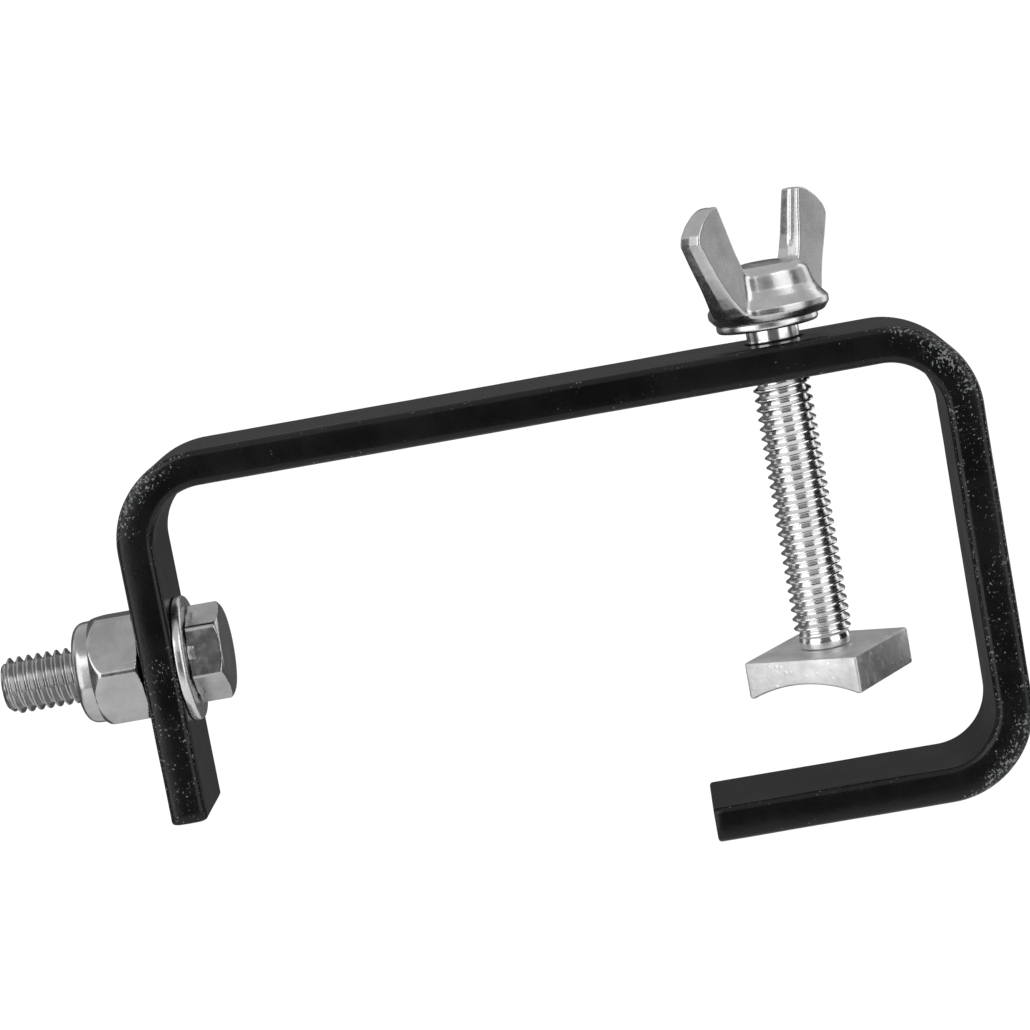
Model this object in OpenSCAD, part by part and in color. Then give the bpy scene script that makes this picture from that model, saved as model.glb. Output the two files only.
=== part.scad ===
// Pipe clamp for stage lighting: a flat steel bar bent into a hook, with a wing
// screw that presses a swivelling saddle onto the pipe, and a yoke bolt through
// the short leg.  Millimetres.  +X runs along the top bar from the short leg to
// the screw, +Z runs up from the bottom leg to the top bar, +Y is the bar's
// width.  The origin is on the screw's axis, on the bottom leg's inner face.

/* [Bar] */
// Width of the flat bar, along the pipe
bar_w = 20; // [16:0.5:25]
// Thickness of the flat bar
bar_t = 6; // [5:0.1:8]
// Radius on the bar's four long edges
bar_edge_r = 1; // [0.5:0.1:2]
// Inside radius of the three bends
bend_r = 9.1; // [5:0.5:10]

/* [Hook] */
// Overall length, over the two legs
hook_l = 141.1; // [130:0.1:160]
// Overall height, over the bottom leg and the top bar
hook_h = 78.4; // [72:0.1:96]
// Length of the short leg, from the top of the bar to its end
short_leg_l = 60.3; // [52:0.1:70]
// Reach of the bottom leg, from the outside of the heel to its end
bottom_leg_l = 53.7; // [46:0.1:64]
// Screw axis to the outside of the heel
heel_x = 30.9; // [30:0.1:40]

/* [Clamp screw] */
// Major diameter of the thread, 3/8-16
thread_d = 9.4; // [9.24:0.01:9.49]
// Pitch of the thread, 3/8-16
thread_pitch = 1.5875; // [1.5875:0.0001:1.5875]
// Diameter of the plain shank under the wing head
shank_d = 8.6; // [8.2:0.1:8.8]
// Height of the wing head's base above the top bar
head_gap = 3.7; // [3.6:0.1:20]
// Height of the saddle's flat top above the bottom leg's inner face
saddle_top_z = 21.5; // [20:0.5:40]
// Diameter of the plain end above the saddle
foot_d = 8.4; // [8:0.1:9]
// Length of the plain end above the saddle
foot_l = 1.9; // [1:0.1:3]
// Diameter of the neck the saddle turns on
neck_d = 6; // [5:0.1:7]
// Diameter of the neck's peened end
peen_d = 8; // [7:0.1:8.2]
// Thickness of the neck's peened end
peen_t = 1.1; // [0.8:0.1:1.4]

/* [Wing head] */
// Height of the wing head, base to wing tips
wing_h = 19.7; // [17:0.2:23]
// Reach of each wing tip from the screw axis
wing_reach = 17.3; // [15:0.1:20]
// Thickness of each wing
wing_t = 4; // [3:0.1:5]
// Diameter of the base flange
wing_base_d = 19.8; // [18:0.1:22]
// Diameter of the barrel at its top
wing_barrel_d = 14.8; // [13:0.1:16]
// Height of the barrel's top above the base
wing_barrel_h = 8.8; // [7:0.1:10]
// Angle of the wings from the bar's length, seen from above
wing_angle = 50; // [0:1:180]

/* [Screw washer] */
// Outside diameter of the thin washer under the wing head
screw_washer_d = 16.6; // [15:0.1:20]
// Hole diameter of the thin washer
screw_washer_hole_d = 9.9; // [9.6:0.1:10.4]
// Thickness of the thin washer
screw_washer_t = 1.35; // [1:0.05:2]

/* [Saddle] */
// Length of the saddle across the pipe
saddle_l = 20.3; // [18:0.1:24]
// Width of the saddle along the pipe
saddle_w = 20; // [18:0.1:24]
// Thickness of the saddle at its two ends
saddle_t = 6.1; // [5.5:0.1:8]
// Diameter of the pipe the saddle is hollowed for
pipe_d = 48.3; // [42:0.1:52]
// Depth of the hollow at the middle
saddle_rise = 1.9; // [1.5:0.1:2.5]
// Angle of the saddle from the bar's length, seen from above
saddle_angle = -30; // [-90:1:90]

/* [Yoke bolt] */
// Bolt axis below the top of the bar
bolt_drop = 34.4; // [32:0.1:40]
// Width of the groove that ends the bolt's free thread, inside the nut
bolt_groove_w = 0.8; // [0.6:0.1:1.5]
// Length of the bolt under its head
bolt_l = 31.75; // [31:0.25:45]
// Size across flats of the bolt's head
head_af = 14.2; // [14.1:0.01:14.4]
// Height of the bolt's head
head_h = 5.75; // [5.5:0.05:6.3]
// Angle one corner of the head stands at, from straight up
head_turn = -12; // [-30:1:30]
// Outside diameter of the flat washer under the head
washer_d = 20.8; // [19:0.1:22]
// Hole diameter of the flat washer
washer_hole_d = 10.3; // [10:0.1:11]
// Thickness of the flat washer
washer_t = 1.6; // [1.3:0.05:2]
// How far the flat washer hangs down on the bolt
washer_drop = 0.4; // [0:0.05:0.4]
// Size across flats of the lock nut
nut_af = 17.4; // [17:0.01:17.5]
// Height of the lock nut
nut_h = 11.4; // [11:0.1:12]
// Height of the lock nut's hexagon
nut_hex_h = 8.4; // [8:0.1:9.5]
// Angle one corner of the nut stands at, from straight up
nut_turn = 34; // [0:1:60]
// Diameter of the lock nut's collar
nut_collar_d = 16.8; // [15:0.1:17.2]
// Outside diameter of the nylon ring in the collar
nylon_d = 12.6; // [12:0.1:13]
// Thickness of the nylon ring
nylon_t = 2.2; // [1.6:0.1:2.6]

/* [Fits] */
// Radial clearance of each thread in its mate
thread_fit = 0.05; // [0.02:0.01:0.1]
// Radial clearance of the yoke bolt in the short leg
bolt_fit = 0.1; // [0.05:0.01:0.1]
// Radial clearance of the saddle on the screw's neck
neck_fit = 0.05; // [0.02:0.01:0.1]
// Gap between two faces that slide on each other
face_gap = 0.02; // [0.01:0.01:0.05]

/* [Hidden] */
$fn = 96;
bar_inner_top = hook_h - 2 * bar_t;          // underside of the top bar
top_z = hook_h - bar_t;                      // top of the bar
out_r = bend_r + bar_t;                      // outside radius of a bend
mid_r = bend_r + bar_t / 2;                  // bend radius of the bar's middle
short_x = heel_x - hook_l;                   // outer face of the short leg
short_in_x = short_x + bar_t;                // inner face of the short leg
short_end_z = top_z - short_leg_l;           // end of the short leg
bottom_end_x = heel_x - bottom_leg_l;        // end of the bottom leg
bolt_z = top_z - bolt_drop;                  // yoke bolt axis
head_under_x = short_in_x + washer_t + face_gap;
bolt_end_x = head_under_x - bolt_l;
nut_x = short_x - face_gap;                  // nut's bearing face
nut_collar_h = nut_h - nut_hex_h;
wing_base_z = top_z + head_gap;
screw_washer_z = wing_base_z - face_gap - screw_washer_t;
thread_top_z = top_z + 0.6;
thread_bottom_z = saddle_top_z + face_gap + foot_l;
saddle_bottom_z = saddle_top_z - saddle_t;
hollow_z = saddle_bottom_z + saddle_rise;    // middle of the saddle's hollow
peen_top_z = hollow_z + peen_t + 0.1;
bolt_r = thread_d / 2;
tip_r = 6.1;                                 // round of a wing's outer corner
eps = 0.01;

// section of the bar, thickness along X and width along Y, edges rounded
module bar_section() {
    square([bar_t - 2 * bar_edge_r, bar_w], center = true);
    square([bar_t, bar_w - 2 * bar_edge_r], center = true);
    for (sx = [-1, 1], sy = [-1, 1])
        translate([sx * (bar_t / 2 - bar_edge_r), sy * (bar_w / 2 - bar_edge_r)])
            circle(r = bar_edge_r, $fn = 48);
}

// straight run of bar from p along direction a (degrees from +X towards +Z)
module bar_run(p, a, len) {
    translate([p[0], 0, p[1]])
        rotate([0, -a, 0])
            rotate([0, 90, 0])
                linear_extrude(height = len)
                    bar_section();
}

// quarter bend about the point c, from angle a to a + 90 (from +X towards +Z)
module bar_bend(c, a) {
    translate([c[0], 0, c[1]])
        rotate([90, 0, 0])
            rotate([0, 0, a])
                rotate_extrude(angle = 90)
                    translate([mid_r, 0])
                        bar_section();
}

module hook_frame() {
    color([0.06, 0.065, 0.07])
    difference() {
        union() {
            // short leg
            bar_run([short_x + bar_t / 2, short_end_z], 90,
                    top_z - out_r - short_end_z);
            bar_bend([short_x + out_r, top_z - out_r], 90);
            // top bar
            bar_run([short_x + out_r, top_z - bar_t / 2], 0,
                    hook_l - 2 * out_r);
            bar_bend([heel_x - out_r, top_z - out_r], 0);
            // heel
            bar_run([heel_x - bar_t / 2, -bar_t + out_r], 90,
                    hook_h - 2 * out_r);
            bar_bend([heel_x - out_r, -bar_t + out_r], -90);
            // bottom leg
            bar_run([bottom_end_x, -bar_t / 2], 0,
                    bottom_leg_l - out_r);
        }
        // tapped hole for the clamp screw
        translate([0, 0, top_z - bar_t - 1])
            cylinder(r = bolt_r + thread_fit, h = bar_t + 2);
        // hole for the yoke bolt
        translate([short_x - 1, 0, bolt_z])
            rotate([0, 90, 0])
                cylinder(r = bolt_r + bolt_fit, h = bar_t + 2);
    }
}

module clamp_screw() {
    shank_top = wing_base_z + wing_barrel_h - 0.7;
    color([0.74, 0.75, 0.76])
    rotate_extrude()
        polygon([
            [0, hollow_z + 0.1],
            [peen_d / 2, hollow_z + 0.1],
            [peen_d / 2, hollow_z + 0.1 + peen_t - face_gap],
            [neck_d / 2, hollow_z + 0.1 + peen_t - face_gap],
            [neck_d / 2, saddle_top_z + face_gap],
            [foot_d / 2 - 0.3, saddle_top_z + face_gap],
            [foot_d / 2, saddle_top_z + face_gap + 0.3],
            [foot_d / 2, thread_bottom_z - 0.5],
            [bolt_r, thread_bottom_z],
            [bolt_r, thread_top_z],
            [shank_d / 2, thread_top_z + 0.5],
            [shank_d / 2, shank_top - 0.4],
            [shank_d / 2 - 0.4, shank_top],
            [0, shank_top]
        ]);
}

// outline of one wing, X out from the screw axis and Y up from the base
module wing_outline() {
    tip_x = wing_reach - tip_r;
    tip_y = wing_h - tip_r;
    intersection() {
        union() {
            translate([tip_x, tip_y])
                circle(r = tip_r);
            polygon([[5, 1.5], [10.5, 1.6], [11.6, 3.1], [12.7, 5],
                     [14.4, 8.2], [wing_reach - 0.35, tip_y - 1.6],
                     [tip_x, tip_y], [tip_x - 2.4, tip_y - 1], [7, 9],
                     [5, wing_barrel_h - 0.6]]);
        }
        polygon([[4, 0], [25, 0], [25, 25], [10.9, 25],
                 [10.9, wing_h - 0.3], [10.3, wing_h - 1.4],
                 [9.2, 13.4], [8, 10.6], [6.9, wing_barrel_h + 0.3],
                 [4, wing_barrel_h - 0.4]]);
    }
}

module wing_head() {
    rb = wing_base_d / 2;
    rt = wing_barrel_d / 2;
    color([0.70, 0.71, 0.72])
    translate([0, 0, wing_base_z])
        rotate([0, 0, wing_angle])
            difference() {
                union() {
                    rotate_extrude()
                        polygon([[0, 0], [rb - 1.1, 0], [rb - 0.3, 0.6],
                                 [rb, 1.4], [rb, 2.1], [rb - 0.35, 2.8],
                                 [rb - 1.1, 3.5], [rb - 1.6, 4.2],
                                 [rt + 0.45, 5.8], [rt + 0.1, wing_barrel_h - 1.1],
                                 [rt - 0.25, wing_barrel_h - 0.4],
                                 [rt - 0.9, wing_barrel_h], [0, wing_barrel_h]]);
                    for (s = [0, 180])
                        rotate([0, 0, s])
                            rotate([90, 0, 0])
                                translate([0, 0, -wing_t / 2])
                                    linear_extrude(height = wing_t)
                                        wing_outline();
                }
                translate([0, 0, -1])
                    cylinder(r = shank_d / 2, h = wing_barrel_h + 2);
            }
}

module screw_washer() {
    color([0.72, 0.73, 0.74])
    translate([0, 0, screw_washer_z])
        difference() {
            cylinder(d = screw_washer_d, h = screw_washer_t);
            translate([0, 0, -1])
                cylinder(d = screw_washer_hole_d, h = screw_washer_t + 2);
        }
}

module pressure_saddle() {
    color([0.62, 0.63, 0.63])
    rotate([0, 0, saddle_angle])
        difference() {
            translate([-saddle_l / 2, -saddle_w / 2, saddle_bottom_z])
                cube([saddle_l, saddle_w, saddle_t]);
            // hollow that beds on the pipe
            translate([0, saddle_w / 2 + 1, hollow_z - pipe_d / 2])
                rotate([90, 0, 0])
                    cylinder(d = pipe_d, h = saddle_w + 2, $fn = 180);
            // hole for the screw's neck, and the recess for its peened end
            translate([0, 0, saddle_bottom_z])
                cylinder(r = neck_d / 2 + neck_fit, h = saddle_t + 1);
            translate([0, 0, saddle_bottom_z - 1])
                cylinder(d = peen_d + 0.4, h = peen_top_z - saddle_bottom_z + 1);
        }
}

module yoke_bolt() {
    free_x = nut_x - nut_h + 0.1;            // start of the thread's free end
    rc = head_af / cos(30) / 2;
    color([0.74, 0.75, 0.76])
    translate([head_under_x, 0, bolt_z])
        rotate([0, 90, 0]) {
            // free threaded end, its groove, then the shank through nut and leg
            translate([0, 0, -bolt_l])
                cylinder(r1 = bolt_r - 0.8, r2 = bolt_r, h = 0.8);
            translate([0, 0, -bolt_l + 0.8])
                cylinder(r = bolt_r, h = free_x - bolt_end_x - 0.8);
            translate([0, 0, free_x - head_under_x - eps])
                cylinder(r = bolt_r - 0.4, h = bolt_groove_w + 2 * eps);
            translate([0, 0, free_x - head_under_x + bolt_groove_w])
                cylinder(r = bolt_r,
                         h = head_under_x - free_x - bolt_groove_w + 0.5);
            // head, its outer end chamfered round
            intersection() {
                rotate([0, 0, head_turn])
                    cylinder(r = rc, h = head_h, $fn = 6);
                union() {
                    cylinder(r = rc + 0.5, h = head_h - 1.05);
                    translate([0, 0, head_h - 1.05])
                        cylinder(r1 = rc + 0.25, r2 = head_af / 2 - 0.4,
                                 h = 1.05);
                }
            }
        }
}

module head_washer() {
    color([0.72, 0.73, 0.74])
    translate([short_in_x, 0, bolt_z - washer_drop])
        rotate([0, 90, 0])
            difference() {
                cylinder(d = washer_d, h = washer_t);
                translate([0, 0, -1])
                    cylinder(d = washer_hole_d, h = washer_t + 2);
            }
}

module lock_nut() {
    ra = nut_af / cos(30) / 2;
    rc = nut_collar_d / 2;
    color([0.74, 0.75, 0.76])
    translate([nut_x, 0, bolt_z])
        rotate([0, -90, 0])
            difference() {
                union() {
                    // hexagon, chamfered at the bearing face and at the collar
                    intersection() {
                        rotate([0, 0, nut_turn])
                            cylinder(r = ra, h = nut_hex_h, $fn = 6);
                        rotate_extrude()
                            polygon([[0, 0], [nut_af / 2 - 0.3, 0],
                                     [ra + 0.1, 0.85],
                                     [ra + 0.1, nut_hex_h - 1.1],
                                     [rc - 0.1, nut_hex_h],
                                     [0, nut_hex_h]]);
                    }
                    // collar over the nylon ring, its outer end rounded
                    translate([0, 0, nut_hex_h - 0.2])
                        rotate_extrude()
                            polygon([[0, 0], [rc, 0],
                                     [rc - 0.1, nut_collar_h - 1.6],
                                     [rc - 0.35, nut_collar_h - 0.9],
                                     [rc - 0.8, nut_collar_h - 0.3],
                                     [rc - 1.4, nut_collar_h + 0.1],
                                     [rc - 1.9, nut_collar_h + 0.2],
                                     [0, nut_collar_h + 0.2]]);
                }
                translate([0, 0, -1])
                    cylinder(r = bolt_r + thread_fit, h = nut_h + 2);
                // seat of the nylon ring
                translate([0, 0, nut_h - 0.5 - nylon_t - face_gap])
                    cylinder(r = nylon_d / 2 + face_gap, h = nylon_t + 2);
            }
}

module nylon_ring() {
    color([0.86, 0.87, 0.85])
    translate([nut_x, 0, bolt_z])
        rotate([0, -90, 0])
            translate([0, 0, nut_h - 0.5 - nylon_t])
                difference() {
                    cylinder(d = nylon_d, h = nylon_t);
                    translate([0, 0, -1])
                        cylinder(r = bolt_r + thread_fit, h = nylon_t + 2);
                }
}

hook_frame();
clamp_screw();
wing_head();
screw_washer();
pressure_saddle();
yoke_bolt();
head_washer();
lock_nut();
nylon_ring();
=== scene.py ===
"""Looks for a stage-lighting pipe clamp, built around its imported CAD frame."""
import math

import bmesh
import bpy
import numpy as np
from mathutils import Matrix, Vector, noise


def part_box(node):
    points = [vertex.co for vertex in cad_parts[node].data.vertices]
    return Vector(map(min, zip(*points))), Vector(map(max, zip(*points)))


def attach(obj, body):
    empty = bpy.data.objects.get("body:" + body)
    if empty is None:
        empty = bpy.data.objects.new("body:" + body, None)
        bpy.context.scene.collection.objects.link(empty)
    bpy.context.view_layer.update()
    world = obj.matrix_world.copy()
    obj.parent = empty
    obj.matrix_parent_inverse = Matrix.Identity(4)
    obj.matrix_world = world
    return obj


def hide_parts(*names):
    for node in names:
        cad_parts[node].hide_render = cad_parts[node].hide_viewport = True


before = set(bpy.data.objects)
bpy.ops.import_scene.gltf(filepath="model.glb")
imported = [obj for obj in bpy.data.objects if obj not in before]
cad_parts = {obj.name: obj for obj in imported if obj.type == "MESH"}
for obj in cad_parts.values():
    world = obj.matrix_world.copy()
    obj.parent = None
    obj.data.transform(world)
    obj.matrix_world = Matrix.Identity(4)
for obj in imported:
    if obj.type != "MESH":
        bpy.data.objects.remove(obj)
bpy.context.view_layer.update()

MM = 0.001
TAU = 2 * math.pi


# ---------------------------------------------------------------- places
# Every place is read from the CAD frame and turned into millimetres.
def box_mm(node):
    lo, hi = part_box(node)
    return np.array(lo) / MM, np.array(hi) / MM


BAR_LO, BAR_HI = box_mm("hook_frame")
SCR_LO, SCR_HI = box_mm("clamp_screw")
WNG_LO, WNG_HI = box_mm("wing_head")
WSH_LO, WSH_HI = box_mm("screw_washer")
SAD_LO, SAD_HI = box_mm("pressure_saddle")
BLT_LO, BLT_HI = box_mm("yoke_bolt")
HWS_LO, HWS_HI = box_mm("head_washer")
NUT_LO, NUT_HI = box_mm("lock_nut")
RNG_LO, RNG_HI = box_mm("nylon_ring")

BAR_T = 6.0
BAR_W = BAR_HI[1] - BAR_LO[1]
SHORT_X = BAR_LO[0]
HEEL_X = BAR_HI[0]
TOP_Z = BAR_HI[2]
BOTTOM_Z = BAR_LO[2]
SHORT_END_Z = TOP_Z - 60.3
BOTTOM_END_X = HEEL_X - 53.7
BEND_R = 9.1
BOLT_Z = (BLT_LO[2] + BLT_HI[2]) / 2
WING_Z = WNG_LO[2]
SADDLE_TOP = SAD_HI[2]
CREST = 4.69
ROOT = 3.83
PITCH = 1.5875


# ---------------------------------------------------------------- meshes
def make(name, verts, faces, limit=32.0, merge=1e-4, attributes=None):
    """A mesh object from millimetre points, smooth but for edges sharper than limit."""
    me = bpy.data.meshes.new(name)
    me.from_pydata([tuple(v) for v in np.asarray(verts, float) * MM], [], [tuple(int(i) for i in f) for f in faces])
    for key, values in (attributes or {}).items():
        at = me.attributes.new(key, "FLOAT", "POINT")
        at.data.foreach_set("value", np.asarray(values, np.float32))
    ob = bpy.data.objects.new(name, me)
    bpy.context.scene.collection.objects.link(ob)
    tidy(ob, limit, merge)
    return ob


def tidy(ob, limit=32.0, merge=1e-4):
    me = ob.data
    bm = bmesh.new()
    bm.from_mesh(me)
    if merge:
        bmesh.ops.remove_doubles(bm, verts=bm.verts, dist=merge * MM)
        bmesh.ops.dissolve_degenerate(bm, edges=bm.edges, dist=merge * MM)
        loose = [v for v in bm.verts if not v.link_faces]
        bmesh.ops.delete(bm, geom=loose, context="VERTS")
    bmesh.ops.recalc_face_normals(bm, faces=bm.faces)
    for f in bm.faces:
        f.smooth = True
    for e in bm.edges:
        e.smooth = not (len(e.link_faces) == 2 and e.calc_face_angle(0) > math.radians(limit))
    bm.to_mesh(me)
    bm.free()
    me.update()


def apply_modifiers(ob):
    dg = bpy.context.evaluated_depsgraph_get()
    me = bpy.data.meshes.new_from_object(ob.evaluated_get(dg), depsgraph=dg)
    old = ob.data
    ob.modifiers.clear()
    ob.data = me
    me.name = old.name
    bpy.data.meshes.remove(old)


def cut(ob, *cutters):
    for c in cutters:
        mod = ob.modifiers.new("cut", "BOOLEAN")
        mod.operation = "DIFFERENCE"
        mod.solver = "EXACT"
        mod.object = c
    apply_modifiers(ob)
    for c in cutters:
        bpy.data.objects.remove(c)


def rounded(points, radii, seg=5):
    """A closed outline with its corners rounded, as a list of points."""
    n = len(points)
    out = []
    for i, p in enumerate(points):
        r = radii[i] if hasattr(radii, "__len__") else radii
        p = np.array(p, float)
        a = np.array(points[i - 1], float) - p
        b = np.array(points[(i + 1) % n], float) - p
        la, lb = np.linalg.norm(a), np.linalg.norm(b)
        a, b = a / la, b / lb
        ang = math.acos(max(-1, min(1, float(a @ b))))
        if r <= 0 or ang > math.pi - 0.02:
            out.append(tuple(p))
            continue
        t = min(r / math.tan(ang / 2), 0.49 * la, 0.49 * lb)
        r = t * math.tan(ang / 2)
        mid = (a + b) / np.linalg.norm(a + b)
        c = p + mid * (r / math.sin(ang / 2))
        s, e = p + a * t - c, p + b * t - c
        sweep = math.pi - ang
        sgn = 1 if s[0] * e[1] - s[1] * e[0] > 0 else -1
        for k in range(seg + 1):
            th = sgn * sweep * k / seg
            out.append((c[0] + s[0] * math.cos(th) - s[1] * math.sin(th), c[1] + s[0] * math.sin(th) + s[1] * math.cos(th)))
    return out


def spin(profile, n=128, closed=False):
    """Points and faces of a profile (r, z) turned about Z. An end on the axis closes itself."""
    prof = [(max(r, 0.0), z) for r, z in profile]
    verts, faces, rings = [], [], []
    for r, z in prof:
        if r < 1e-6:
            rings.append([len(verts)])
            verts.append((0, 0, z))
        else:
            rings.append(list(range(len(verts), len(verts) + n)))
            verts += [(r * math.cos(TAU * j / n), r * math.sin(TAU * j / n), z) for j in range(n)]
    pairs = [(i, i + 1) for i in range(len(rings) - 1)] + ([(len(rings) - 1, 0)] if closed else [])
    for a, b in pairs:
        ra, rb = rings[a], rings[b]
        for j in range(n):
            k = (j + 1) % n
            if len(ra) == 1 and len(rb) == 1:
                continue
            if len(ra) == 1:
                faces.append((ra[0], rb[k], rb[j]))
            elif len(rb) == 1:
                faces.append((ra[j], ra[k], rb[0]))
            else:
                faces.append((ra[j], ra[k], rb[k], rb[j]))
    return verts, faces


def place(verts, matrix):
    v = np.c_[np.asarray(verts, float), np.ones(len(verts))]
    return (v @ np.array(matrix).T)[:, :3]


def join(parts):
    """Several (verts, faces) as one."""
    verts, faces, n = [], [], 0
    for v, f in parts:
        verts += [tuple(p) for p in v]
        faces += [tuple(i + n for i in q) for q in f]
        n += len(v)
    return verts, faces


# turns local +Z to world +X or -X, with local +X going to world -Z or +Z
TO_PLUS_X = np.array(Matrix.Rotation(math.radians(90), 4, "Y"))
TO_MINUS_X = np.array(Matrix.Rotation(math.radians(-90), 4, "Y"))


def thread_radius(t, crest, root):
    """Radius of a rolled 60 degree thread at t pitches from a crest."""
    u = np.abs((np.asarray(t) + 0.5) % 1.0 - 0.5)
    s = (u - 0.075) / (0.415 - 0.075)
    k = 0.07
    s = np.where(s < k, np.where(s < -k, 0, (s + k) ** 2 / (4 * k)), s)
    q = 1 - s
    s = 1 - np.where(q < k, np.where(q < -k, 0, (q + k) ** 2 / (4 * k)), q)
    return crest - (crest - root) * s


def threaded(z0, z1, crest, root, low, high, n=72, start=0.0):
    """Helical thread from z0 to z1, open at both ends. low and high are (radius, length, kind) there:
    "chamfer" cuts the thread down to radius over length, "fade" runs it out into that radius."""
    steps = [0, .04, .075, .11, .17, .25, .33, .38, .415, .46]
    steps = steps + [.5] + [1 - s for s in steps[:0:-1]]
    m = len(steps)
    first = math.floor((z0 - start) / PITCH) - 2
    last = math.ceil((z1 - start) / PITCH) + 2
    turns = last - first
    ii = np.arange(turns * m + 1)
    tt = first + ii // m + np.array(steps)[ii % m]
    jj = np.arange(n)
    T = tt[:, None] + 0 * jj[None, :]
    Z = start + (T + jj[None, :] / n) * PITCH
    R = thread_radius(T, crest, root)
    for (rad, length, kind), end, sg in ((low, z0, 1), (high, z1, -1)):
        d = np.clip((Z - end) * sg, 0, None)
        if kind == "chamfer":
            R = np.minimum(R, rad + (crest - rad) * d / length)
        else:
            w = np.clip(d / length, 0, 1)
            w = w * w * (3 - 2 * w)
            R = rad + (R - rad) * w
    Z = np.clip(Z, z0, z1)
    th = TAU * jj / n
    X, Y = R * np.cos(th), R * np.sin(th)
    verts = np.stack([X, Y, Z], -1).reshape(-1, 3)
    faces = []
    rows = len(ii)
    for i in range(rows - 1):
        for j in range(n):
            if j < n - 1:
                q = (i * n + j, i * n + j + 1, (i + 1) * n + j + 1, (i + 1) * n + j)
            else:
                if i + 1 + m >= rows:
                    continue
                q = (i * n + j, (i + m) * n, (i + 1 + m) * n, (i + 1) * n + j)
            z = verts[list(q), 2]
            if z.max() - z.min() < 1e-7 and (abs(z[0] - z0) < 1e-7 or abs(z[0] - z1) < 1e-7):
                continue
            faces.append(q)
    return verts, faces


def hex_radius(theta, af, corner):
    """Polar radius of a hexagon with a corner at theta 0 and its corners rounded."""
    a = (np.asarray(theta) + math.pi / 6) % (math.pi / 3) - math.pi / 6      # from the nearest corner
    flat = af / 2
    straight = flat / np.cos(math.pi / 6 - np.abs(a))
    # a circle of radius corner tangent to the two flats next to the corner
    d = (flat - corner) / math.cos(math.pi / 6)
    disc = corner ** 2 - (d * np.sin(a)) ** 2
    arc = d * np.cos(a) + np.sqrt(np.clip(disc, 0, None))
    half = math.atan2(corner * math.sin(math.pi / 6), d + corner * math.cos(math.pi / 6))
    return np.where(np.abs(a) < half, arc, straight)


def hex_body(rows, af, corner, turn, n=216):
    """Rings of a hexagon held inside a cone or dome. rows are (z, limit radius); the ends stay open."""
    th = TAU * np.arange(n) / n
    h = hex_radius(th - math.radians(turn), af, corner)
    verts, faces = [], []
    k = 0.10
    for z, lim in rows:
        d = np.clip(0.5 + 0.5 * (lim - h) / k, 0, 1)
        r = lim * (1 - d) + h * d - k * d * (1 - d)
        verts += [(r[j] * math.cos(th[j]), r[j] * math.sin(th[j]), z) for j in range(n)]
    for i in range(len(rows) - 1):
        for j in range(n):
            q = (j + 1) % n
            faces.append((i * n + j, i * n + q, (i + 1) * n + q, (i + 1) * n + j))
    return verts, faces


# signed distances, for the cast wing head
def sd_polygon(px, py, poly):
    poly = np.asarray(poly, float)
    d = np.full(px.shape, 1e9)
    s = np.ones(px.shape)
    n = len(poly)
    for i in range(n):
        a, b = poly[i], poly[i - 1]
        ex, ey = b - a
        wx, wy = px - a[0], py - a[1]
        t = np.clip((wx * ex + wy * ey) / (ex * ex + ey * ey), 0, 1)
        bx, by = wx - ex * t, wy - ey * t
        d = np.minimum(d, bx * bx + by * by)
        c1, c2, c3 = py >= a[1], py < b[1], ex * wy > ey * wx
        s = np.where((c1 & c2 & c3) | (~c1 & ~c2 & ~c3), -s, s)
    return s * np.sqrt(d)


def smooth_union(a, b, k):
    h = np.clip(0.5 + 0.5 * (b - a) / k, 0, 1)
    return b * (1 - h) + a * h - k * h * (1 - h)


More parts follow.
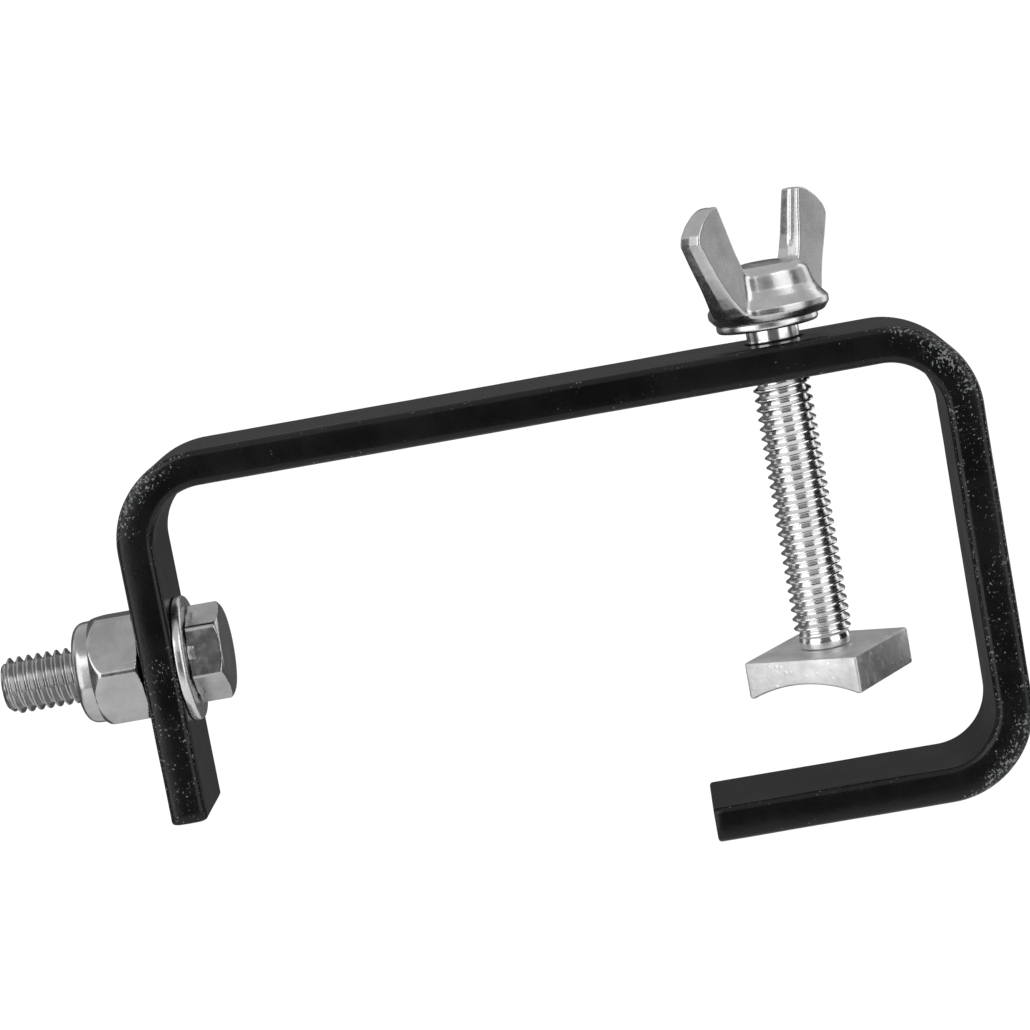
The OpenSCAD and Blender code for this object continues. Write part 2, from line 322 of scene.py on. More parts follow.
def surface_nets(fn, lo, hi, h):
    """A quad mesh of fn = 0 inside a box, its points drawn onto the surface."""
    lo, hi = np.array(lo, float), np.array(hi, float)
    dims = np.ceil((hi - lo) / h).astype(int) + 1
    gx, gy, gz = [lo[a] + h * np.arange(dims[a]) for a in range(3)]
    f = np.empty(dims)
    for i, x in enumerate(gx):
        Y, Z = np.meshgrid(gy, gz, indexing="ij")
        f[i] = fn(np.full(Y.shape, x), Y, Z)
    cx, cy, cz = dims - 1
    acc = np.zeros((cx, cy, cz, 3))
    cnt = np.zeros((cx, cy, cz))
    for a0 in (0, 1):
        for a1 in (0, 1):
            for a2 in (0, 1):
                a = (a0, a1, a2)
                for ax in range(3):
                    if a[ax]:
                        continue
                    b = list(a)
                    b[ax] = 1
                    fa = f[a[0]:a[0] + cx, a[1]:a[1] + cy, a[2]:a[2] + cz]
                    fb = f[b[0]:b[0] + cx, b[1]:b[1] + cy, b[2]:b[2] + cz]
                    m = (fa < 0) != (fb < 0)
                    t = fa[m] / (fa[m] - fb[m])
                    pos = np.tile(np.array(a, float), (len(t), 1))
                    pos[:, ax] = t
                    acc[m] += pos
                    cnt[m] += 1
    act = cnt > 0
    idx = -np.ones(act.shape, int)
    idx[act] = np.arange(act.sum())
    V = lo + h * (np.argwhere(act) + acc[act] / cnt[act][:, None])
    faces = []
    for ax in range(3):
        b, c = [(1, 2), (2, 0), (0, 1)][ax]
        sl0 = [slice(None)] * 3
        sl1 = [slice(None)] * 3
        sl0[ax] = slice(0, -1)
        sl1[ax] = slice(1, None)
        s0, s1 = f[tuple(sl0)] < 0, f[tuple(sl1)] < 0
        e = np.argwhere(s0 != s1)
        e = e[(e[:, b] > 0) & (e[:, c] > 0) & (e[:, b] < dims[b] - 1) & (e[:, c] < dims[c] - 1)]
        inside = s0[tuple(e.T)]
        db, dc = np.zeros(3, int), np.zeros(3, int)
        db[b] = 1
        dc[c] = 1
        q = np.stack([idx[tuple((e - db - dc).T)], idx[tuple((e - dc).T)], idx[tuple(e.T)], idx[tuple((e - db).T)]], 1)
        q[~inside] = q[~inside][:, ::-1]
        faces.append(q)
    for _ in range(3):
        d = 1e-3
        f0 = fn(V[:, 0], V[:, 1], V[:, 2])
        g = np.stack([fn(*(V + np.eye(3)[a] * d).T) - fn(*(V - np.eye(3)[a] * d).T) for a in range(3)], 1) / (2 * d)
        g2 = (g ** 2).sum(1)
        step = np.clip(f0 / np.maximum(g2, 0.2), -h / 2, h / 2)
        V = V - g * step[:, None]
    return V, np.concatenate(faces)


# ---------------------------------------------------------------- bar
def bar_path():
    """(point, outward normal, outside-bend weight) for every ring, from the short leg's end."""
    R = BEND_R + BAR_T / 2
    out = BEND_R + BAR_T
    runs = []

    def line(p, q, nrm, step=2.0):
        p, q = np.array(p, float), np.array(q, float)
        n = max(2, int(np.linalg.norm(q - p) / step))
        for k in range(n):
            runs.append((p + (q - p) * k / n, np.array(nrm, float), 0.0))

    def arc(c, a0, a1, n=26):
        for k in range(n):
            a = math.radians(a0 + (a1 - a0) * k / n)
            nrm = np.array([math.cos(a), math.sin(a)])
            w = math.sin(math.pi * k / n)
            runs.append((np.array(c, float) + R * nrm, nrm, w))

    x0, x1 = SHORT_X + BAR_T / 2, HEEL_X - BAR_T / 2
    zt, zb = TOP_Z - BAR_T / 2, BOTTOM_Z + BAR_T / 2
    line((x0, SHORT_END_Z), (x0, TOP_Z - out), (-1, 0))
    arc((SHORT_X + out, TOP_Z - out), 180, 90)
    line((SHORT_X + out, zt), (HEEL_X - out, zt), (0, 1))
    arc((HEEL_X - out, TOP_Z - out), 90, 0)
    line((x1, TOP_Z - out), (x1, BOTTOM_Z + out), (1, 0))
    arc((HEEL_X - out, BOTTOM_Z + out), 0, -90)
    line((HEEL_X - out, zb), (BOTTOM_END_X, zb), (0, -1))
    runs.append((np.array([BOTTOM_END_X, zb]), np.array([0.0, -1.0]), 0.0))
    return runs


def bar_outline(inset=0.0):
    """Section of the bar as (outward, width) points, with rolled edges that are slightly crowned."""
    h, w, r = BAR_T / 2 - inset, BAR_W / 2 - inset, max(0.25, 1.05 - inset)
    pts = rounded([(-h, -w), (h, -w), (h, w), (-h, w)], r, 6)
    dense = []
    for i, p in enumerate(pts):
        q = pts[(i + 1) % len(pts)]
        dense.append(p)
        L = math.dist(p, q)
        if L > 3:
            n = int(L / 1.6)
            a = 0.25 / L
            for t in [a] + [k / n for k in range(1, n)] + [1 - a]:
                dense.append((p[0] + (q[0] - p[0]) * t, p[1] + (q[1] - p[1]) * t))
    # the 6 mm sides are crowned by 0.4 mm
    res = []
    for u, v in dense:
        if abs(v) > w - r - 1e-6:
            v = math.copysign(abs(v) - 0.42 * (u / h) ** 2, v)
        res.append((u, v))
    return res


def build_bar():
    sec = bar_outline()
    runs = bar_path()
    ends = []
    for i, (p, nrm, w) in enumerate(runs):
        ends.append((p, nrm, w, 0.0))
    tan0, tan1 = np.array([0, 1.0]), np.array([-1.0, 0])
    # bevelled ends: a ring set back, then the inset ring on the end itself
    first, last = ends[0], ends[-1]
    bev = 0.45
    rings = [(first[0], first[1], 0.0, bev), (first[0] + tan0 * 0.15, first[1], 0.0, bev * 0.33), (first[0] + tan0 * bev, first[1], 0.0, 0.0)]
    rings += [e for e in ends[1:-1]]
    rings += [(last[0] - tan1 * bev, last[1], 0.0, 0.0), (last[0] - tan1 * 0.15, last[1], 0.0, bev * 0.33), (last[0], last[1], 0.0, bev)]
    m = len(sec)
    verts, wear_and_glint = [], []
    for p, nrm, w, ins in rings:
        s = sec if ins == 0 else [(u * (1 - ins / (BAR_T / 2)), v * (1 - ins / (BAR_W / 2))) for u, v in sec]
        for u, v in s:
            x, z = p + nrm * u
            # the inside of a bend spreads a little, the outside draws in
            y = v * (1 - 0.006 * w * (u / 3.0))
            y = max(-BAR_W / 2, min(BAR_W / 2, y))
            q = Vector((x, y, z))
            n1 = noise.noise(q * 0.085 + Vector((3.1, 0.7, 9.2)))
            n2 = noise.noise(q * 0.33 + Vector((7.7, 5.1, 1.3)))
            d = 0.055 * (n1 - 0.6) + 0.016 * (n2 - 0.6)
            un, vn = (1, 0) if abs(u) > 2.6 and abs(v) < 9 else (0, 1)
            if un:
                x, z = np.array([x, z]) + nrm * d * (1 if u > 0 else -1)
            else:
                y += d * (1 if v > 0 else -1)
            verts.append((x, y, z))
            # wear_and_glint gathers the paint's chips, scuffs and painted glints: a little on the 6 mm faces, more on
            # the heel leg, the lower short leg, the outside of bends and the section corners. It is partly wear and
            # partly where painted glints are placed.
            side = max(0.0, min(1.0, (abs(v) - 8.7) / 0.6))
            edge = max(0.0, 1 - math.hypot(abs(u) - 2.75, (abs(v) - 9.6)) / 0.8)
            outer = max(0.0, min(1.0, (u + 1.2) / 3.6))
            heel = 1.0 if nrm[0] > 0.7 else 0.0
            foot = 1.0 if (nrm[0] < -0.9 and z < 40) else 0.0
            wear_and_glint.append(min(1.0, side * (0.26 + 0.28 * heel + 0.3 * foot + 0.95 * w * outer) + 0.35 * edge + 0.45 * w * max(0.0, (u - 2.0)) * max(0, abs(v) - 7) / 2.5))
    faces = []
    k = len(rings)
    for i in range(k - 1):
        for j in range(m):
            q = (j + 1) % m
            faces.append((i * m + j, i * m + q, (i + 1) * m + q, (i + 1) * m + j))
    faces.append(tuple(range(m)))
    faces.append(tuple(reversed(range((k - 1) * m, k * m))))
    ob = make("bar", verts, faces, 40, attributes={"wear_and_glint": wear_and_glint})
    # holes: countersunk slightly, as drilled and tapped
    c = 0.35
    z0 = TOP_Z - BAR_T
    prof = [(0, z0 - 2), (4.76 + c + 2, z0 - 2), (4.76 + c, z0), (4.76, z0 + c), (4.76, TOP_Z - c), (4.76 + c, TOP_Z), (4.76 + c + 2, TOP_Z + 2), (0, TOP_Z + 2)]
    v, f = spin(prof, 96)
    a = make("cut_screw", v, f)
    x0 = SHORT_X
    prof = [(0, -2), (4.82 + c + 2, -2), (4.82 + c, 0), (4.82, c), (4.82, BAR_T - c), (4.82 + c, BAR_T), (4.82 + c + 2, BAR_T + 2), (0, BAR_T + 2)]
    v, f = spin(prof, 96)
    v = place(v, Matrix.Translation((x0, 0, BOLT_Z)) @ Matrix(TO_PLUS_X.tolist()))
    b = make("cut_bolt", v, f)
    cut(ob, a, b)
    tidy(ob, 34, 0)
    return ob


# ---------------------------------------------------------------- screw, bolt, nut, washers
def build_screw():
    foot_top = SADDLE_TOP + 0.02 + 1.9
    n = 108
    t0, t1 = foot_top, TOP_Z + 0.6
    shank_r = 4.3
    top = SCR_HI[2]
    thr = threaded(t0, t1, CREST, ROOT, (4.05, 1.1, "fade"), (shank_r, 2.4, "fade"), n=n, start=0.35)
    neck = 3.0
    peen_lo = SCR_LO[2]
    low = [(0, peen_lo), (1.9, peen_lo), (3.2, peen_lo + 0.14), (3.85, peen_lo + 0.45), (3.98, peen_lo + 0.75), (3.9, peen_lo + 1.0), (neck, peen_lo + 1.08),
           (neck, SADDLE_TOP + 0.02), (3.85, SADDLE_TOP + 0.02), (4.05, SADDLE_TOP + 0.1), (4.18, SADDLE_TOP + 0.3), (4.2, t0 - 0.55), (4.12, t0 - 0.2), (4.05, t0)]
    high = [(shank_r, t1), (shank_r, top - 0.4), (shank_r - 0.4, top), (0, top)]
    v, f = join([spin(low, n), thr, spin(high, n)])
    return make("screw_rod", v, f, 40, 0.002)


def build_bolt():
    x_head = BLT_HI[0]
    head_h = 5.75
    under = x_head - head_h
    length = under - BLT_LO[0]
    af = 14.2
    n = 144
    # local z runs from the bearing face towards the head's top
    thr = threaded(-length, -2.6, CREST, ROOT, (3.62, 1.25, "chamfer"), (4.55, 2.2, "fade"), n=n, start=-length + 0.5)
    tip = spin([(0, -length + 0.12), (2.9, -length + 0.10), (3.35, -length + 0.03), (3.62, -length)], n)
    rc = af / math.cos(math.pi / 6) / 2
    h = head_h
    rows = [(0.0, af / 2 - 0.25), (0.12, af / 2 - 0.05), (0.3, rc + 0.4), (1.5, rc + 0.4), (3.2, rc + 0.4)]
    flat = af / 2 - 0.95
    for k in range(17):
        a = math.pi / 2 * k / 16
        rows.append((h - 2.0 + 2.0 * math.sin(a), flat + (rc + 0.35 - flat) * math.cos(a)))
    hb = hex_body(rows, af, 0.8, HEAD_TURN, n)
    face = spin([(flat, h), (4.6, h - 0.02), (3.4, h - 0.10), (0, h - 0.12)], n)
    bear = spin([(4.55, -2.6), (4.6, -0.35), (4.95, 0.0), (af / 2 - 0.25, 0.0)], n)
    v, f = join([tip, thr, bear, hb, face])
    m = Matrix.Translation((under, 0, BOLT_Z)) @ Matrix(TO_PLUS_X.tolist())
    return make("yoke_bolt_visual", place(v, m), f, 30, 0.004)


HEAD_TURN = -12.0
NUT_TURN = 34.0


def build_nut():
    af, h, hexh = 17.4, 11.4, 8.4
    rc = af / math.cos(math.pi / 6) / 2
    n = 216
    rows = [(0.0, af / 2 - 0.55), (0.05, af / 2 - 0.3)]
    for k in range(9):
        t = k / 8
        rows.append((0.12 + 1.0 * t, af / 2 - 0.1 + (rc + 0.35 - af / 2 + 0.1) * t ** 0.75))
    rows += [(2.2, rc + 0.4), (3.4, rc + 0.4), (4.6, rc + 0.4)]
    for k in range(15):
        t = k / 14
        rows.append((hexh - 3.4 + 3.4 * t, rc + 0.35 - (rc + 0.35 - 8.48) * t ** 1.6))
    hb = hex_body(rows, af, 1.1, NUT_TURN, n)
    R = RNG_HI[1] + 0.02
    dome = [(6.5 + 1.9 * math.sin(a), h - 1.9 + 1.9 * math.cos(a)) for a in np.linspace(math.radians(88), math.radians(8), 12)]
    collar = spin([(8.48, hexh)] + dome + [(6.55, h - 0.02), (R + 0.06, h - 0.16),
                   (R, h - 0.4), (R, h - 2.72), (4.76, h - 2.72), (4.76, 0.6), (5.3, 0.0), (af / 2 - 0.55, 0.0)], n)
    v, f = join([hb, collar])
    m = Matrix.Translation((NUT_HI[0], 0, BOLT_Z)) @ Matrix(TO_MINUS_X.tolist())
    return make("lock_nut_visual", place(v, m), f, 30, 0.02)


def build_ring():
    a, b = RNG_LO[0], RNG_HI[0]
    t = b - a
    prof = rounded([(4.76, 0), (RNG_HI[1], 0), (RNG_HI[1], t), (4.76, t)], [0.1, 0.25, 0.1, 0.35], 4)
    v, f = spin(prof, 128, closed=True)
    return make("nylon_insert", place(v, Matrix.Translation((a, 0, BOLT_Z)) @ Matrix(TO_PLUS_X.tolist())), f, 35, 0.001)


def build_washer(name, r0, r1, t, m, burr=0.0):
    """A stamped washer: one face rolled over at its rim, the other with a sharper rim; burr is not used."""
    prof = rounded([(r0, 0), (r1, 0), (r1, t), (r0, t)], [0.12, 0.45 * t, 0.16 * t, 0.4], 5)
    dense = []
    for i, p in enumerate(prof):
        q = prof[(i + 1) % len(prof)]
        dense.append(p)
        if math.dist(p, q) > 2:
            for t_ in (0.06, 0.35, 0.65, 0.94):
                dense.append((p[0] + (q[0] - p[0]) * t_, p[1] + (q[1] - p[1]) * t_))
    v, f = spin(dense, 144, closed=True)
    return make(name, place(v, m), f, 35, 0.001)


def build_saddle():
    L, W = 20.3, 20.0
    lo, hi = SAD_LO[2], SAD_HI[2]
    R = 24.15
    rise = 1.9
    cz = lo + rise - R
    half = math.sqrt(R * R - (R - rise) ** 2)
    n = 28
    out = [(-L / 2, lo), (-L / 2, hi), (L / 2, hi), (L / 2, lo)]
    a = math.asin(half / R)
    arc = [(R * math.sin(a - 2 * a * k / n), cz + R * math.cos(a - 2 * a * k / n)) for k in range(n + 1)]
    prof = out + arc
    m = len(prof)
    verts = [(x, -W / 2, z) for x, z in prof] + [(x, W / 2, z) for x, z in prof]
    faces = [tuple(range(m)), tuple(reversed(range(m, 2 * m)))]
    for i in range(m):
        j = (i + 1) % m
        faces.append((i, j, m + j, m + i))
    ob = make("saddle_block", verts, faces, 30)
    mod = ob.modifiers.new("bevel", "BEVEL")
    mod.width = 0.42 * MM
    mod.segments = 4
    mod.limit_method = "ANGLE"
    mod.angle_limit = math.radians(24)
    mod.harden_normals = False
    apply_modifiers(ob)
    v1, f1 = spin([(0, lo - 3), (4.22, lo - 3), (4.22, SCR_LO[2] + 1.19), (3.07, SCR_LO[2] + 1.19), (3.07, hi - 0.25), (3.4, hi), (3.7, hi + 2), (0, hi + 2)], 72)
    c = make("cut_saddle", v1, f1)
    cut(ob, c)
    ob.data.transform(Matrix.Rotation(math.radians(-30), 4, "Z"))
    tidy(ob, 28, 0)
    return ob


def build_wing():
    base = WING_Z
    H = WNG_HI[2] - base
    bell = rounded([(0, 0), (8.9, 0), (9.85, 1.2), (9.86, 2.2), (8.6, 3.7), (7.9, 5.0), (7.55, 6.4), (7.2, 7.75), (5.9, 8.65), (3, 9.1), (0, 9.2)],
                   [0, 0.6, 0.7, 0.7, 2.0, 2.0, 1, 1.6, 1.8, 0, 0], 6)
    bell = [(-r, z) for r, z in reversed(bell[1:-1])] + bell
    wing = rounded([(4, 1.4), (10.3, 1.4), (11.6, 3.1), (12.7, 5.0), (14.4, 8.2), (16.0, 11.4), (17.34, 14.35), (16.9, 15.9), (15.4, 17.6),
                    (13.4, 18.95), (12.0, 19.5), (10.75, 19.68), (10.2, 18.0), (9.3, 14.9), (8.6, 12.4), (7.75, 10.1), (6.6, 7.4), (4, 6.6)],
                   [0, 0.8, 2, 3, 3, 3, 0.7, 2, 3, 3, 3, 0.4, 3, 4, 4, 2, 1, 0], 4)
    ca, sa = math.cos(math.radians(50)), math.sin(math.radians(50))

    def fn(x, y, z):
        u = x * ca + y * sa
        v = -x * sa + y * ca
        zz = z - base
        r = np.sqrt(x * x + y * y)
        b = sd_polygon(r, zz, bell)
        au = np.abs(u)
        d2 = sd_polygon(au, zz, wing)
        half = 2.16 - (np.clip(zz, 3, 19.7) - 10) * 0.042 + 0.022 * np.clip(8.5 - zz, 0, 7) ** 2
        # the inner edge has a shallow groove where the two halves of the mould met
        inner = np.clip((zz - 10.2) / 1.2, 0, 1) * np.clip((11.5 - au) / 1.0, 0, 1)
        q1 = d2 + 0.35 + np.abs(v) * 0.07 + inner * 0.22 * np.exp(-((v + 0.3) / 0.34) ** 2)
        q2 = np.abs(v) - half + 0.35
        w = np.minimum(np.maximum(q1, q2), 0) + np.sqrt(np.maximum(q1, 0) ** 2 + np.maximum(q2, 0) ** 2) - 0.35
        return smooth_union(b, w, 1.15)

    h = 0.17
    V, F = surface_nets(fn, (-14.6, -16.6, base - 0.537), (14.6, 16.6, base + H + 0.7), h)
    V[:, 2] = np.clip(V[:, 2], base, base + H)
    return make("wing_head_visual", V, F, 60, 0)


bar = build_bar()
rod = build_screw()
bolt = build_bolt()
nut = build_nut()
ring = build_ring()
wing = build_wing()
saddle = build_saddle()
hw_t = HWS_HI[0] - HWS_LO[0]
hw_z = (HWS_LO[2] + HWS_HI[2]) / 2
head_washer = build_washer("head_washer_visual", 5.15, (HWS_HI[2] - HWS_LO[2]) / 2, hw_t,
                           Matrix.Translation((HWS_HI[0], 0, hw_z)) @ Matrix(TO_MINUS_X.tolist()))
screw_washer = build_washer("screw_washer_visual", 4.95, (WSH_HI[0] - WSH_LO[0]) / 2, WSH_HI[2] - WSH_LO[2],
                            Matrix.Translation((-0.55, 0.1, WSH_LO[2])))


# ---------------------------------------------------------------- materials
class Nodes:
    """Short calls for building a node tree."""

    def __init__(self, name):
        self.mat = bpy.data.materials.new(name)
        self.mat.use_nodes = True
        self.t = self.mat.node_tree
        self.t.nodes.clear()
        self.out = self.t.nodes.new("ShaderNodeOutputMaterial")
        self.bsdf = self.t.nodes.new("ShaderNodeBsdfPrincipled")
        self.t.links.new(self.bsdf.outputs[0], self.out.inputs[0])
        self.co = self.t.nodes.new("ShaderNodeTexCoord").outputs["Object"]

    def put(self, socket, value):
        if isinstance(value, bpy.types.NodeSocket):
            self.t.links.new(value, socket)
        else:
            socket.default_value = value

    def noise(self, scale, detail=3.0, rough=0.55, seed=(0, 0, 0), stretch=(1, 1, 1), kind="FBM", distortion=0.0):
        m = self.t.nodes.new("ShaderNodeMapping")
        m.inputs["Location"].default_value = seed
        m.inputs["Scale"].default_value = stretch
        self.put(m.inputs["Vector"], self.co)
        n = self.t.nodes.new("ShaderNodeTexNoise")
        n.inputs["Scale"].default_value = scale
        n.inputs["Detail"].default_value = detail
        n.inputs["Roughness"].default_value = rough
        n.inputs["Distortion"].default_value = distortion
        self.put(n.inputs["Vector"], m.outputs[0])
        return n.outputs[0]

    def voronoi(self, scale, seed=(0, 0, 0), rand=1.0, feature="F1"):
        m = self.t.nodes.new("ShaderNodeMapping")
        m.inputs["Location"].default_value = seed
        self.put(m.inputs["Vector"], self.co)
        n = self.t.nodes.new("ShaderNodeTexVoronoi")
        n.feature = feature
        n.inputs["Scale"].default_value = scale
        n.inputs["Randomness"].default_value = rand
        self.put(n.inputs["Vector"], m.outputs[0])
        return n.outputs["Distance"], n.outputs["Color"]

    def ramp(self, value, stops, interp="LINEAR"):
        r = self.t.nodes.new("ShaderNodeValToRGB")
        r.color_ramp.interpolation = interp
        el = r.color_ramp.elements
        while len(el) < len(stops):
            el.new(0.5)
        for e, (pos, c) in zip(el, stops):
            e.position = pos
            e.color = (c, c, c, 1) if not hasattr(c, "__len__") else (*c, 1)
        self.put(r.inputs[0], value)
        return r.outputs[0]

    def span(self, value, a, b, lo, hi, smooth=True):
        m = self.t.nodes.new("ShaderNodeMapRange")
        m.interpolation_type = "SMOOTHSTEP" if smooth else "LINEAR"
        for i, x in zip((1, 2, 3, 4), (a, b, lo, hi)):
            m.inputs[i].default_value = x
        self.put(m.inputs[0], value)
        return m.outputs[0]

    def math(self, op, a, b=0.0, clamp=False):
        m = self.t.nodes.new("ShaderNodeMath")
        m.operation = op
        m.use_clamp = clamp
        self.put(m.inputs[0], a)
        self.put(m.inputs[1], b)
        return m.outputs[0]

    def mix(self, fac, a, b):
        m = self.t.nodes.new("ShaderNodeMix")
        m.data_type = "RGBA"
        self.put(m.inputs[0], fac)
        self.put(m.inputs[6], a if not isinstance(a, tuple) else (*a, 1))
        self.put(m.inputs[7], b if not isinstance(b, tuple) else (*b, 1))
        return m.outputs[2]

    def mixf(self, fac, a, b):
        m = self.t.nodes.new("ShaderNodeMix")
        m.data_type = "FLOAT"
        self.put(m.inputs[0], fac)
        self.put(m.inputs[2], a)
        self.put(m.inputs[3], b)
        return m.outputs[0]

    def bump(self, height, strength, distance, normal=None):
        b = self.t.nodes.new("ShaderNodeBump")
        b.inputs["Strength"].default_value = strength
        b.inputs["Distance"].default_value = distance
        self.put(b.inputs["Height"], height)
        if normal is not None:
            self.put(b.inputs["Normal"], normal)
        return b.outputs[0]

    def attribute(self, name):
        a = self.t.nodes.new("ShaderNodeAttribute")
        a.attribute_name = name
        return a.outputs["Fac"]

    def set(self, **kw):
        for k, v in kw.items():
            self.put(self.bsdf.inputs[k.replace("_", " ")], (*v, 1) if isinstance(v, tuple) and len(v) == 3 and k == "Base_Color" else v)
        return self.mat


def paint():
    n = Nodes("frame_paint")
    wear_and_glint = n.attribute("wear_and_glint")
    cloud = n.noise(95, 4, 0.6, (0.3, 0.1, 0.7))
    streak = n.noise(60, 3, 0.5, (0.9, 0.2, 0.1), (0.35, 3.0, 3.0))
    peel = n.noise(1250, 2.5, 0.55, (0.1, 0.4, 0.2))
    fine = n.noise(3600, 2, 0.6, (0.7, 0.1, 0.9))
    patch = n.noise(240, 3, 0.6, (0.5, 0.8, 0.3))
    # bright specks come through where the bar is worn: partly chips in the paint, partly painted glints off pits and
    # dust in it
    drive = n.math("ADD", n.math("MULTIPLY", wear_and_glint, 0.27), n.math("MULTIPLY", n.math("SUBTRACT", patch, 0.5), 0.34))
    speck = n.noise(2300, 2.2, 0.62, (0.35, 0.65, 0.15))
    chips_and_glints = n.span(n.math("ADD", speck, drive), 0.80, 0.88, 0.0, 1.0)
    scuff = n.span(n.math("ADD", n.noise(900, 4, 0.7, (0.8, 0.4, 0.6)), n.math("MULTIPLY", drive, 0.9)), 0.70, 0.98, 0.0, 0.55)
    base = n.mix(n.span(cloud, 0.35, 0.7, 0, 1), (0.0018, 0.0019, 0.0021), (0.0045, 0.0047, 0.0051))
    base = n.mix(n.span(streak, 0.5, 0.75, 0, 0.6), base, (0.011, 0.0115, 0.0125))
    base = n.mix(scuff, base, (0.040, 0.041, 0.044))
    # painted glints: the light grey of the specks stands in for glints off pits and dust, as well as for bare metal at
    # chips
    base = n.mix(chips_and_glints, base, (0.20, 0.205, 0.21))
    rough = n.mixf(n.span(cloud, 0.3, 0.72, 0, 1), 0.20, 0.30)
    rough = n.mixf(scuff, rough, 0.62)
    rough = n.mixf(chips_and_glints, rough, 0.5)
    h = n.math("ADD", n.math("MULTIPLY", peel, 0.7), n.math("MULTIPLY", fine, 0.3))
    h = n.math("SUBTRACT", h, n.math("MULTIPLY", chips_and_glints, 0.7))
    nrm = n.bump(h, 0.55, 0.00006)
    return n.set(Base_Color=base, Roughness=rough, Normal=nrm, Metallic=0.0, IOR=1.5, Specular_IOR_Level=0.32)


def zinc(name, dark, light, rough_lo, rough_hi, grain, grain_scale, seed, stain=0.12, metallic=1.0, specks=0.0):
    n = Nodes(name)
    cloud = n.noise(170, 4, 0.6, seed)
    soft = n.noise(620, 3, 0.6, (seed[1], seed[2], seed[0]))
    g = n.noise(grain_scale, 3, 0.6, (seed[2], seed[0], seed[1]))
    scratch = n.noise(900, 3, 0.65, seed, (1.0, 1.0, 0.12))
    base = n.mix(n.span(cloud, 0.3, 0.7, 0, 1), dark, light)
    base = n.mix(n.span(soft, 0.52, 0.8, 0, stain), base, tuple(c * 0.62 for c in dark))
    rough = n.mixf(n.span(soft, 0.3, 0.75, 0, 1), rough_lo, rough_hi)
    h = n.math("ADD", n.math("MULTIPLY", g, 0.75), n.math("MULTIPLY", scratch, 0.25))
    if specks:
        d, _ = n.voronoi(grain_scale * 0.55, seed)
        pit = n.span(d, 0.10, 0.34, 1.0, 0.0)
        pit = n.math("MULTIPLY", pit, n.span(n.noise(520, 2, 0.5, (seed[1], seed[0], seed[2])), 0.45, 0.62, 0, 1))
        base = n.mix(n.math("MULTIPLY", pit, specks), base, (0.90, 0.90, 0.90))
        h = n.math("ADD", h, n.math("MULTIPLY", pit, 0.8))
    nrm = n.bump(h, 0.5, grain)
    return n.set(Base_Color=base, Roughness=rough, Normal=nrm, Metallic=metallic)


def nylon():
    n = Nodes("nylon")
    cloud = n.noise(300, 3, 0.5, (0.2, 0.5, 0.8))
    fine = n.noise(2600, 2, 0.5, (0.6, 0.3, 0.1))
    base = n.mix(n.span(cloud, 0.3, 0.7, 0, 1), (0.62, 0.62, 0.58), (0.76, 0.76, 0.73))
    nrm = n.bump(fine, 0.4, 0.00003)
    return n.set(Base_Color=base, Roughness=n.mixf(cloud, 0.38, 0.55), Normal=nrm, Subsurface_Weight=0.12)


M_PAINT = paint()
# bright zinc in two copies of one finish: the rod's copy has a lighter base colour as painted light, the copy for the
# bolt and nut a darker one as painted shade
M_ROD_PAINTED_LIGHT = zinc("bright_zinc_rod_painted_light", (0.80, 0.80, 0.80), (0.92, 0.92, 0.925), 0.13, 0.24, 0.000018, 2600, (0.1, 0.5, 0.9))
M_BOLT_PAINTED_SHADE = zinc("bright_zinc_bolt_painted_shade", (0.39, 0.39, 0.395), (0.52, 0.52, 0.525), 0.17, 0.28, 0.00002, 2300, (0.4, 0.2, 0.6))
M_WASHER = zinc("washer_zinc", (0.64, 0.64, 0.645), (0.78, 0.78, 0.785), 0.20, 0.34, 0.00003, 2600, (0.8, 0.1, 0.4))
M_WING = zinc("wing_zinc", (0.52, 0.52, 0.525), (0.66, 0.66, 0.665), 0.20, 0.31, 0.00002, 2100, (0.3, 0.9, 0.2))
M_SADDLE = zinc("saddle_zinc", (0.62, 0.62, 0.62), (0.76, 0.76, 0.76), 0.44, 0.58, 0.00011, 1300, (0.6, 0.7, 0.1), specks=0.75)
M_NYLON = nylon()


def dress(ob, mat, body, slot, *nodes):
    ob.data.materials.clear()
    ob.data.materials.append(mat)
    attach(ob, body)
    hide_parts(*nodes)


dress(bar, M_PAINT, "frame", "frame_paint", "hook_frame")
dress(head_washer, M_WASHER, "frame", "washer_zinc", "head_washer")
dress(rod, M_ROD_PAINTED_LIGHT, "screw", "bright_zinc", "clamp_screw")
dress(wing, M_WING, "screw", "wing_zinc", "wing_head")
dress(screw_washer, M_WASHER, "screw_carrier", "washer_zinc", "screw_washer")
dress(saddle, M_SADDLE, "saddle", "saddle_zinc", "pressure_saddle")
dress(bolt, M_BOLT_PAINTED_SHADE, "bolt", "bright_zinc", "yoke_bolt")
dress(nut, M_BOLT_PAINTED_SHADE, "nut", "bright_zinc", "lock_nut")
dress(ring, M_NYLON, "nut_carrier", "nylon", "nylon_ring")


# ---------------------------------------------------------------- stage
def stage_material():
    n = Nodes("stage_pale")
    v = n.noise(2.0, 2, 0.5)
    base = n.mix(v, (0.86, 0.86, 0.86), (0.90, 0.90, 0.90))
    return n.set(Base_Color=base, Roughness=0.9)


def build_stage():
    z0, r, k = -0.52, 1.05, 96
    me = bpy.data.meshes.new("floor")
    me.from_pydata([(-0.1 + r * math.cos(TAU * i / k), -0.30 + r * math.sin(TAU * i / k), z0) for i in range(k)], [], [tuple(range(k))])
    ob = bpy.data.objects.new("floor", me)
    bpy.context.scene.collection.objects.link(ob)
    me.materials.append(stage_material())


build_stage()


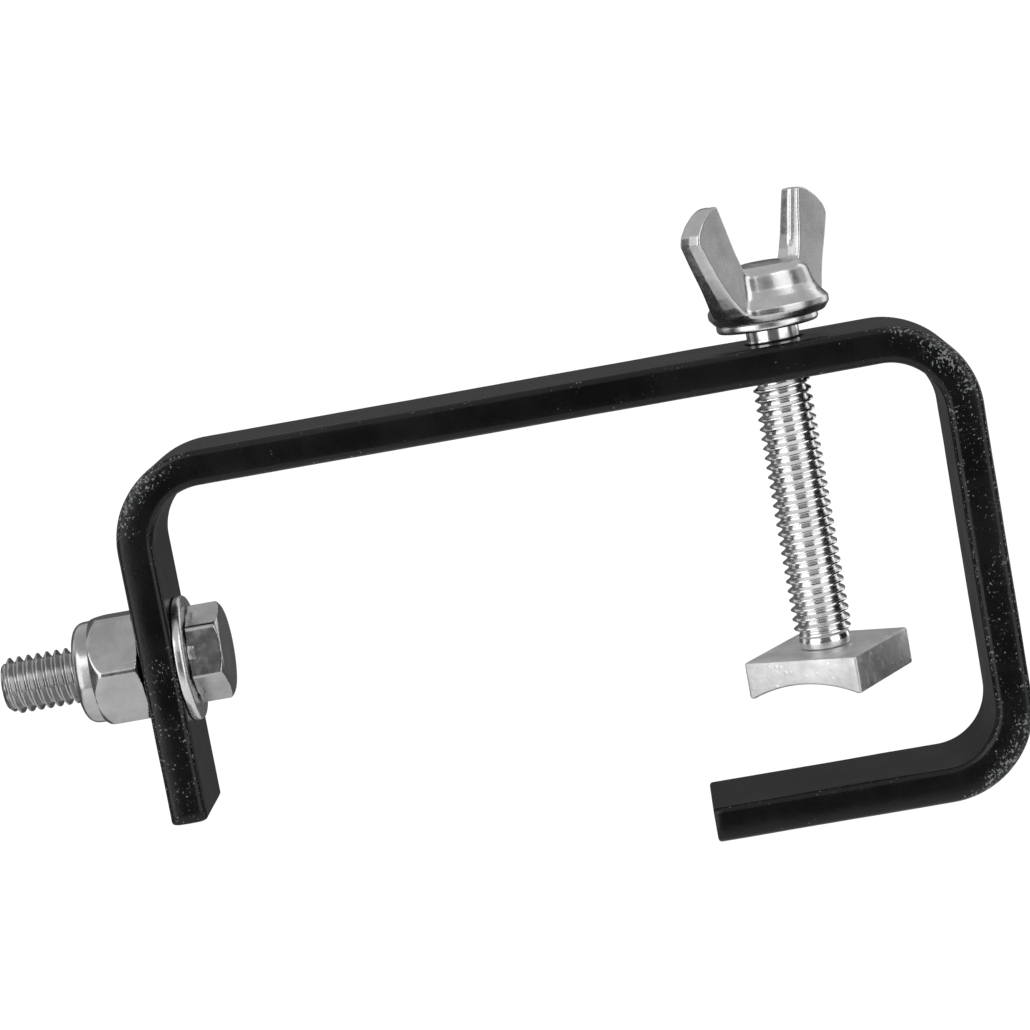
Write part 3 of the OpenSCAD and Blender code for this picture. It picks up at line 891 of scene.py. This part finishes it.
def area(name, pos, target, size, energy, color=(1, 1, 1), size_y=None):
    li = bpy.data.lights.new(name, "AREA")
    li.energy = energy
    li.color = color
    li.size = size
    if size_y:
        li.shape = "RECTANGLE"
        li.size_y = size_y
    ob = bpy.data.objects.new(name, li)
    bpy.context.scene.collection.objects.link(ob)
    ob.location = pos
    ob.rotation_mode = "QUATERNION"
    ob.rotation_quaternion = (Vector(target) - Vector(pos)).to_track_quat("-Z", "Y")
    return ob


C = (-0.045, 0.0, 0.045)
def softbox(name, azimuth, height, distance, width, tall, radiance):
    """A soft box seen from the part at azimuth degrees right of the front, as bright as radiance."""
    a = math.radians(azimuth)
    pos = (C[0] + distance * math.sin(a), C[1] - distance * math.cos(a), C[2] + height)
    area(name, pos, C, width, radiance * math.pi * width * tall, size_y=tall)


softbox("key_left", -47, 0.24, 1.15, 1.05, 1.5, 1.60)
softbox("key_right", 48, 0.24, 1.10, 0.88, 1.5, 1.35)
softbox("side_right", 130, 0.20, 1.10, 0.45, 0.9, 1.10)
softbox("side_fill", 103, 0.20, 1.20, 0.50, 0.9, 0.42)
softbox("side_left", -110, 0.20, 1.10, 0.45, 0.9, 0.60)
sky = bpy.data.lights.new("overhead", "SUN")
sky.energy = 1.35
sky.angle = math.radians(130)
sky_ob = bpy.data.objects.new("overhead", sky)
sky_ob.location = (0, 0, 2)
bpy.context.scene.collection.objects.link(sky_ob)

# the room: pale where the camera looks past the floor, dimmer as a light
world = bpy.data.worlds.new("studio")
bpy.context.scene.world = world
world.use_nodes = True
wt = world.node_tree
bg = wt.nodes["Background"]
bg.inputs[0].default_value = (0.11, 0.11, 0.111, 1)
pale = wt.nodes.new("ShaderNodeBackground")
pale.inputs[0].default_value = (1, 1, 1, 1)
pale.inputs[1].default_value = 1.05
seen = wt.nodes.new("ShaderNodeLightPath")
both = wt.nodes.new("ShaderNodeMixShader")
wt.links.new(seen.outputs["Is Camera Ray"], both.inputs[0])
wt.links.new(bg.outputs[0], both.inputs[1])
wt.links.new(pale.outputs[0], both.inputs[2])
wt.links.new(both.outputs[0], wt.nodes["World Output"].inputs[0])
bpy.context.scene.view_settings.view_transform = "Standard"

# ---------------------------------------------------------------- camera
AZ, EL, ROLL = 0.054, 0.1367, -0.1819
fwd = Vector((-math.sin(AZ) * math.cos(EL), math.cos(AZ) * math.cos(EL), -math.sin(EL)))
right = Vector((math.cos(AZ), math.sin(AZ), 0))
up = right.cross(fwd)
right, up = right * math.cos(ROLL) + up * math.sin(ROLL), up * math.cos(ROLL) - right * math.sin(ROLL)
cam_data = bpy.data.cameras.new("camera")
cam_data.sensor_width = 36.0
cam_data.lens = 3110.98 / 1030 * 36.0
cam_data.clip_start = 0.01
cam_data.clip_end = 20
cam = bpy.data.objects.new("camera", cam_data)
bpy.context.scene.collection.objects.link(cam)
m = Matrix((right, up, -fwd)).transposed().to_4x4()
m.translation = Vector((-19.153, -502.673, 120.807)) * MM
cam.matrix_world = m
bpy.context.scene.camera = cam

bpy.context.view_layer.update()
